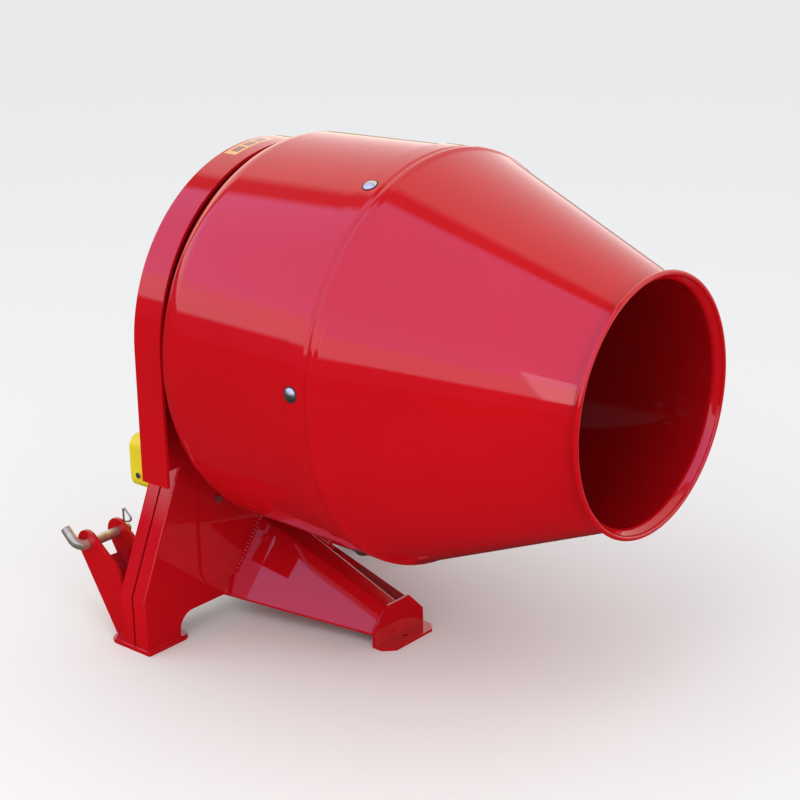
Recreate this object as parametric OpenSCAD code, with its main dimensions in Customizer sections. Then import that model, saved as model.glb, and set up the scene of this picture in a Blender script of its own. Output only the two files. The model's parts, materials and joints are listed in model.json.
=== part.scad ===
// Drum concrete mixer for a tractor's three-point hitch.
// Millimetres. +X is the mouth end of the drum, +Z is up, the ground is Z = 0, and the
// origin is below the middle of the machine. X positions are measured from the drum's seam.

/* [Drum] */
// Outer radius of the drum at its seam
drum_r = 425; // [380:5:520]
// Sheet thickness of the drum
drum_wall = 3; // [2:0.5:4]
// Length of the rear shell, from the seam to the flat back
rear_len = 435; // [360:5:440]
// Radius lost by the rear shell over its length
rear_taper = 8; // [4:1:16]
// Radius of the shoulder between the rear shell and the flat back
shoulder_r = 80; // [60:5:110]
// Length from the seam to the plane of the mouth
mouth_len = 493; // [410:5:595]
// Half angle of the cone
cone_angle = 21.9; // [18:0.1:23.5]
// Skirt of the front shell that laps over the rear shell
lap_len = 50; // [44:1:60]
// Length of the flared collar at the mouth
lip_len = 26; // [22:1:32]
// How far the collar flares out past the cone
lip_flare = 26; // [20:1:32]
// Radius of the rolled edge of the mouth
lip_bead_r = 5; // [4:0.5:7]

/* [Stance] */
// Height of the drum's axis above the ground
axis_h = 658; // [640:2:760]
// Distance from the seam back to the front face of the frame
frame_back = 493; // [485:1:600]
// Depth of the frame box, front face to rear face
frame_depth = 77; // [66:1:90]
// Half width of the frame over its feet
frame_half_w = 408; // [350:2:480]
// Height of the bend where the frame starts to lean in
frame_knee_h = 126; // [110:2:150]
// Height above the drum's axis that the frame reaches
frame_top = 115; // [105:1:140]
// Half width of the frame at its top
frame_top_half_w = 122; // [112:1:150]
// Thickness of the frame sheets
frame_t = 5; // [4:0.5:6]
// Height of the frame's lower edge between its feet
frame_clear_h = 59; // [50:1:80]

/* [Hitch] */
// Half the spacing of the lower link points
link_half = 341.5; // [310:0.5:360]
// Height of the lower link pins
link_h = 200; // [185:1:240]
// Distance of the lower link pins behind the frame
link_back = 120; // [110:1:140]
// Diameter of the lower link pins
link_pin_d = 22; // [18:0.1:26]
// Clear gap between the two ears of a lower clevis
link_gap = 76; // [70:1:95]
// Height from the lower pins to the top link pin
mast_h = 460; // [455:1:465]
// Distance of the top link pin behind the frame
top_back = 80; // [72:1:100]
// Diameter of the top link pin
top_pin_d = 19; // [16:0.1:22]
// Clear gap between the top link ears
top_gap = 54; // [50:1:60]
// Thickness of every hitch ear
ear_t = 10; // [8:0.5:12]

/* [Drive] */
// Gear tooth module
gear_m = 6; // [5:0.5:6.5]
// Teeth on the ring gear
ring_teeth = 108; // [96:1:110]
// Teeth on the pinion
pinion_teeth = 12; // [11:1:14]
// Sideways distance from the drum's axis to the input shaft
pto_side = 150; // [130:2:170]
// Diameter of the input shaft
pto_d = 34.9; // [30:0.1:40]
// Diameter of the drum's shaft
shaft_d = 50; // [45:0.5:58]
// Width of the ring gear's teeth
gear_face = 28; // [24:1:29]
// Length of the yellow guard round the input shaft
guard_len = 168; // [140:2:200]
// Outer width and height of the guard
guard_size = 122; // [122:1:140]

/* [Cover] */
// Radial distance from the flat of the drum's back to the outside of the gear cover
cover_gap = 41; // [24:1:60]
// Depth of the cover's rim
cover_depth = 76; // [70:1:90]
// How far the cover's straight sides hang below the drum's axis
cover_drop = 272; // [262:1:290]
// Thickness of the cover's sheet
cover_t = 3; // [2:0.5:4]

/* [Hidden] */
$fn = 96;

// Colours
red = [0.80, 0.03, 0.06];
dark_red = [0.55, 0.02, 0.04];
zinc_yellow = [0.62, 0.55, 0.36];
steel = [0.60, 0.61, 0.62];
cast = [0.30, 0.31, 0.33];
guard_yellow = [0.93, 0.80, 0.08];

// Clearances
seat_gap = 0.2;      // between sheets that lap or pieces that are bolted face to face
fit_gap = 0.02;      // radial, between a ring and the shaft it grips
run_gap = 0.3;       // radial, between pieces that roll or turn past each other
pin_gap = 0.05;      // radial, pin in its ears
bolt_gap = 0.3;      // radial, bolt in its hole

// X stations, measured from the seam
frame_front_x = -frame_back;
frame_rear_x = -frame_back - frame_depth;
doubler_t = 6;
doubler_x = frame_front_x + doubler_t;
pin_x = frame_rear_x - link_back;
drum_back_x = -rear_len;

// Heights, measured from the drum's axis
ground_z = -axis_h;
foot_t = 8;
foot_top_z = ground_z + foot_t;
knee_z = ground_z + frame_knee_h;
clear_z = ground_z + frame_clear_h;
link_z = ground_z + link_h;
top_z = link_z + mast_h;

// The pins' bent handles and the guard reach furthest back
pin_bend_r = 22;
handle_len = 30;
handle_rise = 44;                // degrees above the horizontal
handle_reach = (pin_bend_r + handle_len) * cos(handle_rise) + link_pin_d / 2 * sin(handle_rise);
rear_reach = max(frame_back + frame_depth + guard_len, -pin_x + handle_reach);
seam_x = (rear_reach - mouth_len) / 2;

// ---------- Shared outlines and helpers ----------

// A round fillet of radius r at corner b, between the lines to a and c, as n + 1 points
function unit(v) = v / norm(v);
function fillet(a, b, c, r, n) =
    let (u = unit(a - b), w = unit(c - b), half = acos(u * w) / 2)
    let (middle = b + unit(u + w) * r / sin(half), start = b + u * r / tan(half))
    let (turn = sign(u[0] * w[1] - u[1] * w[0]), first = start - middle)
    [for (i = [0:n]) let (q = -turn * i / n * (180 - 2 * half))
        middle + [first[0] * cos(q) - first[1] * sin(q), first[0] * sin(q) + first[1] * cos(q)]];

// Points [x, y, fillet radius] of an open path or a closed outline, with the corners rounded
function round_path(p, n = 8) = [for (i = [0:len(p) - 1])
    each (i == 0 || i == len(p) - 1 || p[i][2] == 0) ? [[p[i][0], p[i][1]]]
        : fillet(flat(p[i - 1]), flat(p[i]), flat(p[i + 1]), p[i][2], n)];
function round_outline(p, n = 8) = [for (i = [0:len(p) - 1])
    each p[i][2] == 0 ? [flat(p[i])]
        : fillet(flat(p[(i + len(p) - 1) % len(p)]), flat(p[i]), flat(p[(i + 1) % len(p)]), p[i][2], n)];
function flat(p) = [p[0], p[1]];
function reversed(p) = [for (i = [len(p) - 1:-1:0]) p[i]];

// The path moved sideways by d, to its left
function normal(a, b) = unit([a[1] - b[1], b[0] - a[0]]);
function beside(p, d) = [for (i = [0:len(p) - 1])
    let (n1 = normal(p[max(i - 1, 0)], p[max(i, 1)]))
    let (n2 = normal(p[min(i, len(p) - 2)], p[min(i + 1, len(p) - 1)]))
    p[i] + (n1 + n2) * d / (1 + n1 * n2)];
module strip(path, t) { polygon(concat(path, reversed(beside(path, -t)))); }

// Everything is drawn round the drum's axis and its seam, then set on the ground
module in_place() { translate([seam_x, 0, axis_h]) children(); }
// A profile of [x, radius] points turned about the drum's axis
module about_axis() { rotate([0, 90, 0]) rotate_extrude() children(); }
module profile(points) { polygon([for (p = points) [p[1], p[0]]]); }
// A cylinder along +X that starts at x
module rod_x(x, len, r) { translate([x, 0, 0]) rotate([0, 90, 0]) cylinder(h = len, r = r); }
module rod_y(y, len, r) { translate([0, y, 0]) rotate([-90, 0, 0]) cylinder(h = len, r = r); }
module hex_x(x, len, r) { translate([x, 0, 0]) rotate([0, 90, 0]) cylinder(h = len, r = r, $fn = 6); }
// A plate that faces X: an outline of [y, z] points from x, t thick
module plate_x(x, t) {
    translate([x, 0, 0]) rotate([90, 0, 90]) linear_extrude(t) children();
}
// A plate that faces Y: an outline of [x, z] points centred on y
module plate_y(y, t) {
    translate([0, y + t / 2, 0]) rotate([90, 0, 0]) linear_extrude(t) children();
}
module both_sides() {
    children();
    mirror([0, 1, 0]) children();
}
module around(count, phase = 0) {
    for (i = [0:count - 1]) rotate([phase + 360 / count * i, 0, 0]) children();
}
module at_pto() { translate([0, -pto_side, pto_z]) children(); }

// ---------- Drum ----------

lap_r = drum_r - drum_wall - seat_gap;          // outside of the rear shell in the lap
lap_end = -14;                                  // where the rear shell ends inside the front one
cone_slope = tan(cone_angle);
cone_r0 = drum_r + 3.1;                         // cone radius carried back to the seam
function cone_r(x) = cone_r0 - cone_slope * x;
shell_hole_r = shaft_d / 2 + 30;

rear_path = round_path([
    [drum_back_x, shell_hole_r, 0],
    [drum_back_x, lap_r - rear_taper, shoulder_r],
    [-lap_len, lap_r, 0],
    [lap_end, lap_r, 0]
], 16);

bead_x = 23;
front_path = round_path([
    [-lap_len, drum_r, 0],
    [-8, drum_r, 6],
    [0, drum_r - 3.2, 4],
    [6, drum_r + 1.2, 5],
    [15, drum_r + 0.5, 6],
    [bead_x, cone_r(bead_x), 14],
    [mouth_len - lip_len, cone_r(mouth_len - lip_len), 0]
], 6);

neck_r = cone_r(mouth_len - lip_len);
lip_r = cone_r(mouth_len) + lip_flare;
rim_path = round_path([
    [mouth_len - lip_len, neck_r, 0],
    [mouth_len - lip_len + 7, neck_r - 7 * cone_slope, 9],
    [mouth_len - lip_bead_r, lip_r - lip_bead_r, 0]
], 8);

bolt_x = -33;                                   // seam bolts
seam_bolts_n = 6;
seam_bolt_phase = -3.8;                         // degrees that the first bolt stands above -Y
seam_bolt_r = 6;
seam_head_r = 14.5;
ring_bolts_n = 6;
ring_bolt_r = 6;
hub_r = 150;
hub_t = 8;
hub_bolts_n = 6;
hub_bolt_r = 6;
hub_bolt_pcd_r = shaft_d / 2 + 49;

ring_pitch_r = gear_m * ring_teeth / 2;
pinion_pitch_r = gear_m * pinion_teeth / 2;
gear_centre = ring_pitch_r + pinion_pitch_r;
pto_z = -sqrt(gear_centre * gear_centre - pto_side * pto_side);
ring_rim_r = ring_pitch_r - 22;                 // inside of the ring gear's rim
ring_bolt_at = min(ring_rim_r - 12, drum_r - rear_taper - shoulder_r - 20);
gear_front_x = drum_back_x - 8;
gear_rear_x = gear_front_x - gear_face;

module seam_bolt_holes() {
    around(seam_bolts_n, seam_bolt_phase) translate([bolt_x, 0, 0]) rotate([90, 0, 0])
        translate([0, 0, drum_r - 40]) cylinder(h = 60, r = seam_bolt_r + bolt_gap);
}

module drum_rear_shell() {
    color(red) in_place() difference() {
        about_axis() profile(concat(rear_path, reversed(beside(rear_path, -drum_wall))));
        seam_bolt_holes();
        around(ring_bolts_n) translate([0, 0, ring_bolt_at])
            rod_x(drum_back_x - 5, 20, ring_bolt_r + bolt_gap);
        around(hub_bolts_n) translate([0, 0, hub_bolt_pcd_r])
            rod_x(drum_back_x - 5, 20, hub_bolt_r + bolt_gap);
    }
}

module drum_front_shell() {
    color(red) in_place() difference() {
        about_axis() profile(concat(front_path, reversed(beside(front_path, -drum_wall))));
        seam_bolt_holes();
    }
}

module mouth_rim() {
    color(red) in_place() about_axis() {
        profile(concat(rim_path, reversed(beside(rim_path, -drum_wall))));
        translate([lip_r - lip_bead_r, mouth_len - lip_bead_r]) circle(r = lip_bead_r, $fn = 48);
    }
}

// One dome-headed bolt through the lap, drawn along -Y from the axis
seam_head_h = 6;
seam_nut_t = 10;
seam_inner_r = lap_r - drum_wall;               // inside of the rear shell at the lap
module seam_bolt() {
    dome_r = (seam_head_r * seam_head_r + seam_head_h * seam_head_h) / (2 * seam_head_h);
    translate([bolt_x, 0, 0]) rotate([90, 0, 0]) {
        translate([0, 0, seam_inner_r - seam_nut_t - 6])
            cylinder(h = drum_r - seam_inner_r + seam_nut_t + 7, r = seam_bolt_r, $fn = 32);
        translate([0, 0, drum_r + seat_gap]) rotate_extrude($fn = 48) intersection() {
            translate([0, seam_head_h - dome_r]) circle(r = dome_r, $fn = 96);
            square([seam_head_r, seam_head_h]);
        }
    }
}

module seam_bolts() {
    color(steel) in_place() around(seam_bolts_n, seam_bolt_phase) seam_bolt();
}

module seam_nuts() {
    color(steel) in_place() around(seam_bolts_n, seam_bolt_phase) translate([bolt_x, 0, 0]) rotate([90, 0, 0])
        difference() {
            translate([0, 0, seam_inner_r - seam_nut_t - 0.5])
                cylinder(h = seam_nut_t, r = 10.5, $fn = 6);
            cylinder(h = drum_r, r = seam_bolt_r + fit_gap, $fn = 32);
        }
}

// Mixing paddles: flat blades set askew across the inside of the rear shell
paddle_len = 300;
paddle_x = -185;
paddle_reach = 118;
paddle_skew = 20;
paddle_t = 5;
paddle_phase = [36, 156, 276];
module paddle(phase) {
    inner_r = lap_r - drum_wall - seat_gap;
    back_x = drum_back_x + shoulder_r;
    back_r = inner_r - rear_taper * (rear_len - shoulder_r) / (rear_len - lap_len);
    color(dark_red) in_place() rotate([phase, 0, 0]) intersection() {
        translate([paddle_x, 0, 0]) rotate([0, 0, paddle_skew])
            translate([-paddle_len / 2, -paddle_t / 2, inner_r - paddle_reach])
                cube([paddle_len, paddle_t, paddle_reach + 20]);
        translate([back_x, 0, 0]) rotate([0, 90, 0])
            cylinder(h = -lap_len - back_x, r1 = back_r, r2 = inner_r);
    }
}
module paddle_a() { paddle(paddle_phase[0]); }
module paddle_b() { paddle(paddle_phase[1]); }
module paddle_c() { paddle(paddle_phase[2]); }

// Plate that stiffens the drum's flat back, and its bolts
shaft_flange_r = hub_bolt_pcd_r + 16;
shaft_flange_t = 12;
hub_plate_x = drum_back_x - hub_t;
shaft_flange_x = hub_plate_x - shaft_flange_t;
module hub_plate() {
    color(red) in_place() difference() {
        rod_x(hub_plate_x, hub_t, hub_r);
        rod_x(hub_plate_x - 1, hub_t + 2, shaft_d / 2);
        around(hub_bolts_n) translate([0, 0, hub_bolt_pcd_r])
            rod_x(hub_plate_x - 1, hub_t + 2, hub_bolt_r + bolt_gap);
    }
}

module hub_bolts() {
    grip = drum_wall + hub_t + shaft_flange_t;
    color(steel) in_place() around(hub_bolts_n) translate([0, 0, hub_bolt_pcd_r]) {
        rod_x(shaft_flange_x - 8, grip + 16, hub_bolt_r, $fn = 32);
        hex_x(drum_back_x + drum_wall + 0.1, 8, 10.5);
        hex_x(shaft_flange_x - 8.1, 8, 10.5);
    }
}

shaft_end_x = frame_rear_x + frame_t + 3;
module drum_shaft() {
    color(steel) in_place() difference() {
        union() {
            rod_x(shaft_end_x, shaft_flange_x - shaft_end_x + 1, shaft_d / 2);
            rod_x(shaft_flange_x, shaft_flange_t, shaft_flange_r);
        }
        around(hub_bolts_n) translate([0, 0, hub_bolt_pcd_r])
            rod_x(shaft_flange_x - 1, shaft_flange_t + 2, hub_bolt_r + bolt_gap);
    }
}

// ---------- Bearings: a square flange, an inner race and a ring of balls ----------

// [shaft radius, race radius, housing bore, boss radius, half of the square flange,
//  flange thickness, overall depth, bolt place from the middle, bolt radius, balls]
drum_bearing = [shaft_d / 2, shaft_d / 2 + 9, shaft_d / 2 + 21, shaft_d / 2 + 33,
    shaft_d / 2 + 45, 14, 26, shaft_d / 2 + 29, 6, 9];
pto_bearing = [pto_d / 2, pto_d / 2 + 6, pto_d / 2 + 15, pto_d / 2 + 23,
    pto_d / 2 + 31, 11, 28, pto_d / 2 + 21, 5, 9];

module bearing_housing(b) {
    color(cast) difference() {
        union() {
            plate_x(0, b[5]) polygon(round_outline([
                [-b[4], -b[4], 14], [b[4], -b[4], 14], [b[4], b[4], 14], [-b[4], b[4], 14]]));
            rod_x(0, b[6], b[3]);
        }
        rod_x(-1, b[6] + 2, b[2]);
        around(4) translate([0, b[7], b[7]]) rod_x(-1, b[5] + 2, b[8] + bolt_gap);
    }
}
module bearing_race(b) {
    color(steel) difference() {
        rod_x(0.5, b[6] + 1, b[1]);
        rod_x(0, b[6] + 3, b[0] + fit_gap);
    }
}
module bearing_ball_ring(b) {
    ball_r = (b[2] - b[1]) / 2 - run_gap;
    color(steel) around(b[9]) translate([b[6] / 2, 0, (b[1] + b[2]) / 2])
        sphere(r = ball_r, $fn = 32);
}
// Four bolts that run back from the flange through whatever lies behind it
module bearing_bolt_set(b, grip) {
    color(steel) around(4) translate([0, b[7], b[7]]) {
        rod_x(-grip - 0.1 - b[8], grip + b[5] + 2 * b[8], b[8], $fn = 32);
        hex_x(b[5] + 0.1, b[8] * 1.2, b[8] * 1.75);
        hex_x(-grip - 0.1 - b[8] * 1.2, b[8] * 1.2, b[8] * 1.75);
    }
}
module bearing_bolt_holes(b, x, t) {
    around(4) translate([x, b[7], b[7]]) rod_x(-1, t + 2, b[8] + bolt_gap);
}

drum_bearing_rear_x = frame_rear_x + frame_t;
pto_bearing_rear_x = frame_rear_x;
module drum_bearing_front() { in_place() translate([doubler_x, 0, 0]) bearing_housing(drum_bearing); }
module drum_bearing_rear() { in_place() translate([drum_bearing_rear_x, 0, 0]) bearing_housing(drum_bearing); }
module drum_race_front() { in_place() translate([doubler_x, 0, 0]) bearing_race(drum_bearing); }
module drum_race_rear() { in_place() translate([drum_bearing_rear_x, 0, 0]) bearing_race(drum_bearing); }
module drum_bearing_balls() {
    in_place() for (x = [doubler_x, drum_bearing_rear_x]) translate([x, 0, 0])
        bearing_ball_ring(drum_bearing);
}
module drum_bearing_bolts() {
    in_place() {
        translate([doubler_x, 0, 0]) bearing_bolt_set(drum_bearing, frame_t + doubler_t);
        translate([drum_bearing_rear_x, 0, 0]) bearing_bolt_set(drum_bearing, frame_t);
    }
}
module shaft_collar() {
    color(steel) in_place() difference() {
        rod_x(doubler_x - doubler_t - frame_t - 22, 16, shaft_d / 2 + 11);
        rod_x(doubler_x - 60, 60, shaft_d / 2 + fit_gap);
    }
}

module at_pto_front() {
    at_pto() translate([frame_front_x - frame_t, 0, 0]) mirror([1, 0, 0]) children();
}
module pto_bearing_front() { in_place() at_pto_front() bearing_housing(pto_bearing); }
module pto_bearing_rear() {
    in_place() at_pto() translate([pto_bearing_rear_x, 0, 0]) mirror([1, 0, 0]) bearing_housing(pto_bearing);
}
module pto_race_front() { in_place() at_pto_front() bearing_race(pto_bearing); }
module pto_race_rear() {
    in_place() at_pto() translate([pto_bearing_rear_x, 0, 0]) mirror([1, 0, 0]) bearing_race(pto_bearing);
}
module pto_bearing_balls() {
    in_place() {
        at_pto_front() bearing_ball_ring(pto_bearing);
        at_pto() translate([pto_bearing_rear_x, 0, 0]) mirror([1, 0, 0]) bearing_ball_ring(pto_bearing);
    }
}
module pto_bearing_bolts() {
    in_place() {
        at_pto_front() bearing_bolt_set(pto_bearing, frame_t + doubler_t);
        at_pto() translate([pto_bearing_rear_x, 0, 0]) mirror([1, 0, 0])
            bearing_bolt_set(pto_bearing, frame_t);
    }
}

// ---------- Gears ----------

// Involute flanks: half the angle that a tooth spans at radius q
pressure = 20;
backlash = 1.0;
function inv(a) = tan(a) * 180 / PI - a;
function half_tooth(teeth, q) =
    let (pitch = gear_m * teeth / 2, base = pitch * cos(pressure))
    90 / teeth - backlash / 4 / pitch * 180 / PI + inv(pressure) - inv(acos(min(1, base / max(q, base))));
function tooth(teeth, radii) = concat(
    [for (q = radii) let (a = -half_tooth(teeth, q)) q * [cos(a), sin(a)]],
    [for (q = reversed(radii)) let (a = half_tooth(teeth, q)) q * [cos(a), sin(a)]]);
function turned(p, a) = [for (v = p) [v[0] * cos(a) - v[1] * sin(a), v[0] * sin(a) + v[1] * cos(a)]];
module gear(teeth, radii) {
    polygon([for (i = [0:teeth - 1]) each turned(tooth(teeth, radii), 360 / teeth * i)]);
}
// The angle of the input shaft seen from the drum's axis, in the Y-Z plane
mesh_angle = atan2(pto_z, -pto_side);

ring_lug_r = 20;
module ring_gear() {
    color(cast) in_place() difference() {
        union() {
            plate_x(gear_rear_x, gear_face) difference() {
                rotate(mesh_angle + 180 / ring_teeth) gear(ring_teeth,
                    [ring_pitch_r - 1.25 * gear_m, ring_pitch_r, ring_pitch_r + 0.7 * gear_m]);
                circle(r = ring_rim_r, $fn = 180);
            }
            around(ring_bolts_n) intersection() {
                translate([0, 0, ring_bolt_at]) rod_x(gear_rear_x, drum_back_x - gear_rear_x, ring_lug_r);
                rod_x(gear_rear_x - 1, gear_face + 20, ring_rim_r + 2);
            }
        }
        around(ring_bolts_n) translate([0, 0, ring_bolt_at])
            rod_x(gear_rear_x - 1, gear_face + 20, ring_bolt_r + bolt_gap);
    }
}

module ring_gear_bolts() {
    color(steel) in_place() around(ring_bolts_n) translate([0, 0, ring_bolt_at]) {
        rod_x(gear_rear_x - 8, drum_back_x - gear_rear_x + drum_wall + 12, ring_bolt_r, $fn = 32);
        hex_x(drum_back_x + drum_wall + 0.1, 8, 10.5);
        hex_x(gear_rear_x - 8.1, 8, 10.5);
    }
}

key_w = 8;
key_h = 7;
pinion_x = doubler_x + 9;
pinion_len = gear_front_x - pinion_x;
module key_block(gap) {
    translate([pinion_x + 1 - gap, -key_w / 2 - gap, pto_d / 2 - key_h / 2 - gap])
        cube([pinion_len - 2 + 2 * gap, key_w + 2 * gap, key_h + 2 * gap]);
}
module pinion() {
    color(cast) in_place() at_pto() difference() {
        plate_x(pinion_x, pinion_len) rotate(mesh_angle + 180) gear(pinion_teeth, [
            pinion_pitch_r - 1.1 * gear_m, pinion_pitch_r - 0.35 * gear_m, pinion_pitch_r,
            pinion_pitch_r + 0.5 * gear_m, pinion_pitch_r + gear_m]);
        rod_x(pinion_x - 1, pinion_len + 2, pto_d / 2 + fit_gap);
        translate([-1, 0, 0]) key_block(0.1);
        translate([1, 0, 0]) key_block(0.1);
    }
}
module pinion_key() { color(steel) in_place() at_pto() key_block(0); }
end_bolt_r = 5;
module pinion_end_bolt() {
    color(steel) in_place() at_pto() {
        rod_x(pinion_x + pinion_len + 0.1, 3, pto_d / 2 + 4);
        hex_x(pinion_x + pinion_len + 3, 3.5, 9);
        rod_x(pinion_x + pinion_len - 20, 21, end_bolt_r, $fn = 32);
    }
}

stub_out = 100;              // how far the splined stub stands out behind the bearing
spline_depth = 2.6;
module pto_shaft() {
    stub_x = frame_rear_x - pto_bearing[6] - stub_out;
    front_x = pinion_x + pinion_len - 1;
    color(steel) in_place() at_pto() difference() {
        rod_x(stub_x, front_x - stub_x, pto_d / 2);
        around(6, 30) translate([stub_x - 1, -4.4, pto_d / 2 - spline_depth])
            cube([stub_out - 12, 8.8, 10]);
        translate([stub_x + 30, 0, 0]) rotate([0, 90, 0]) rotate_extrude()
            translate([pto_d / 2 + 3.5, 0]) circle(r = 6.5, $fn = 32);
        key_block(0.1);
        rod_x(front_x - 20, 21, end_bolt_r + fit_gap, $fn = 32);
    }
}

// Guard: a square tube with round corners, on a flange
guard_wall = 4;
guard_corner = 26;
guard_flange = 13;
guard_z = -4;                // the guard sits a little low round the shaft
guard_side_screw_z = -27;    // its side screws are near its lower edge
guard_screw_r = 4;
function round_square(half, r) = round_outline([
    [-half, -half, r], [half, -half, r], [half, half, r], [-half, half, r]]);
module pto_guard() {
    half = guard_size / 2;
    x = frame_rear_x - guard_len;
    color(guard_yellow) in_place() at_pto() translate([0, 0, guard_z]) difference() {
        union() {
            plate_x(x, guard_len) polygon(round_square(half, guard_corner));
            plate_x(frame_rear_x - guard_wall, guard_wall)
                polygon(round_square(half + guard_flange, guard_corner));
        }
        plate_x(x - 1, guard_len + 2) polygon(round_square(half - guard_wall, guard_corner - guard_wall));
        around(4) translate([0, half + guard_flange / 2 - 8, half + guard_flange / 2 - 8])
            rod_x(frame_rear_x - guard_wall - 1, guard_wall + 2, guard_screw_r + bolt_gap);
        translate([x + 26, 0, guard_side_screw_z])
            rod_y(-half - 1, guard_size + 2, guard_screw_r + bolt_gap);
    }
}

module guard_screws() {
    half = guard_size / 2;
    at = half + guard_flange / 2 - 8;
    x = frame_rear_x - guard_len + 26;
    color(steel) in_place() at_pto() translate([0, 0, guard_z]) {
        around(4) translate([0, at, at]) {
            rod_x(frame_rear_x - guard_wall - 3, guard_wall + frame_t + 5, guard_screw_r, $fn = 32);
            rod_x(frame_rear_x - guard_wall - 4.1, 4, 6.8);
        }
        both_sides() translate([x, 0, guard_side_screw_z]) {
            rod_y(half - guard_wall - 6, guard_wall + 7, guard_screw_r, $fn = 32);
            rod_y(half + 0.1, 3, 7);
            rod_y(half - guard_wall - 4.1, 4, 7);
        }
    }
}

// ---------- Frame ----------

flange_d = (frame_depth - 5) / 2;    // the two side flanges nearly meet
foot_w = 127;
foot_inner = frame_half_w - 98;      // inner edge of the frame's own legs
frame_lean = (frame_half_w - frame_top_half_w) / (frame_top - knee_z);
function frame_edge(z) = frame_half_w - max(0, z - knee_z) * frame_lean;
frame_outline = round_outline([
    [-foot_inner, foot_top_z, 0], [-foot_inner, clear_z, 38],
    [foot_inner, clear_z, 38], [foot_inner, foot_top_z, 0],
    [frame_half_w, foot_top_z, 0], [frame_half_w, knee_z, 0],
    [frame_top_half_w, frame_top, 25], [-frame_top_half_w, frame_top, 25],
    [-frame_half_w, knee_z, 0], [-frame_half_w, foot_top_z, 0]]);
flange_top = frame_top - 32;
flange_path = [[frame_edge(flange_top), flange_top], [frame_half_w, knee_z],
    [frame_half_w, foot_top_z]];
guard_screw_at = guard_size / 2 + guard_flange / 2 - 8;

module drum_bearing_cuts(x, t) { bearing_bolt_holes(drum_bearing, x, t); }
module pto_cuts(x, t) {
    at_pto() {
        rod_x(x - 1, t + 2, pto_d / 2 + 4);
        bearing_bolt_holes(pto_bearing, x, t);
    }
}
module cover_bolt_cuts(x, t) {
    for (p = cover_bolt_at) both_sides() translate([x - 1, p[0], p[1]])
        rod_x(0, t + 2, cover_bolt_r + bolt_gap);
}

// The two folded sheets of the box: each a plate with a flange turned in along both sides
module frame_front_plate() {
    x = frame_front_x - frame_t;
    color(red) in_place() difference() {
        union() {
            plate_x(x, frame_t) polygon(frame_outline);
            both_sides() plate_x(frame_front_x - flange_d, flange_d) strip(flange_path, frame_t);
        }
        rod_x(x - 1, frame_t + 2, shaft_d / 2 + 5);
        drum_bearing_cuts(x, frame_t);
        pto_cuts(x, frame_t);
        cover_bolt_cuts(x, frame_t);
    }
}
module frame_rear_plate() {
    x = frame_rear_x;
    color(red) in_place() difference() {
        union() {
            plate_x(x, frame_t) polygon(frame_outline);
            both_sides() plate_x(x, flange_d) strip(flange_path, frame_t);
        }
        drum_bearing_cuts(x, frame_t);
        pto_cuts(x, frame_t);
        at_pto() translate([0, 0, guard_z]) around(4) translate([0, guard_screw_at, guard_screw_at])
            rod_x(x - 1, frame_t + 2, guard_screw_r + bolt_gap);
    }
}

// Plate that thickens the front sheet behind the drum's bearing
doubler_half_w = 244;
doubler_low_z = ground_z + 101;
doubler_inset = 8;
module frame_doubler() {
    shoulder_z = knee_z + (frame_half_w - doubler_inset - doubler_half_w) / frame_lean;
    top = frame_top - doubler_inset;
    color(red) in_place() difference() {
        plate_x(frame_front_x, doubler_t) polygon(round_outline([
            [-doubler_half_w, doubler_low_z, 40], [doubler_half_w, doubler_low_z, 40],
            [doubler_half_w, shoulder_z, 10], [frame_edge(top) - doubler_inset, top, 20],
            [-frame_edge(top) + doubler_inset, top, 20], [-doubler_half_w, shoulder_z, 10]]));
        rod_x(frame_front_x - 1, doubler_t + 2, shaft_d / 2 + 5);
        drum_bearing_cuts(frame_front_x, doubler_t);
        pto_cuts(frame_front_x, doubler_t);
        cover_bolt_cuts(frame_front_x, doubler_t);
    }
}

// Rear feet, drawn on the -Y side
foot_lip = 3;
foot_front_lip = 9;
foot_len = 132;
module rear_foot() {
    front = frame_front_x + foot_front_lip;
    outer = -frame_half_w - foot_lip;
    inner = outer + foot_w;
    color(red) in_place() translate([0, 0, ground_z]) linear_extrude(foot_t)
        polygon(round_outline([[front, outer, 2], [front, inner, 28],
            [front - foot_len, inner, 28], [front - foot_len, outer, 28]]));
}
module rear_foot_left() { rear_foot(); }
module rear_foot_right() { mirror([0, 1, 0]) rear_foot(); }

// Leg that runs forward under the drum: a folded sheet, closed below by a plate
front_foot_x = -142;
// Half width below, the top's two folds, low edge, high edge, corner radius
leg_gap = 20;                        // from the drum's side down to the top of the leg's root
leg_root = [176, -58, 2, clear_z + 4, -drum_r - leg_gap, 14];
leg_tip = [84, -34, -2, ground_z + 35, ground_z + 81, 9];
leg_plate_t = 5;
function leg_section(x, s, inset) = let (low = inset > 0 ? s[3] - 1 : s[3])
    let (r = max(2, s[5] - inset), flare = inset * 1.3)
    [for (p = round_outline([[-s[0] + flare, low, 0], [s[0] - flare * 1.3, low, 0],
        [s[2] - inset * 0.4, s[4] - inset, r], [s[1] + inset * 0.7, s[4] - inset, r]], 5))
        [x, p[0], p[1]]];
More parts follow.
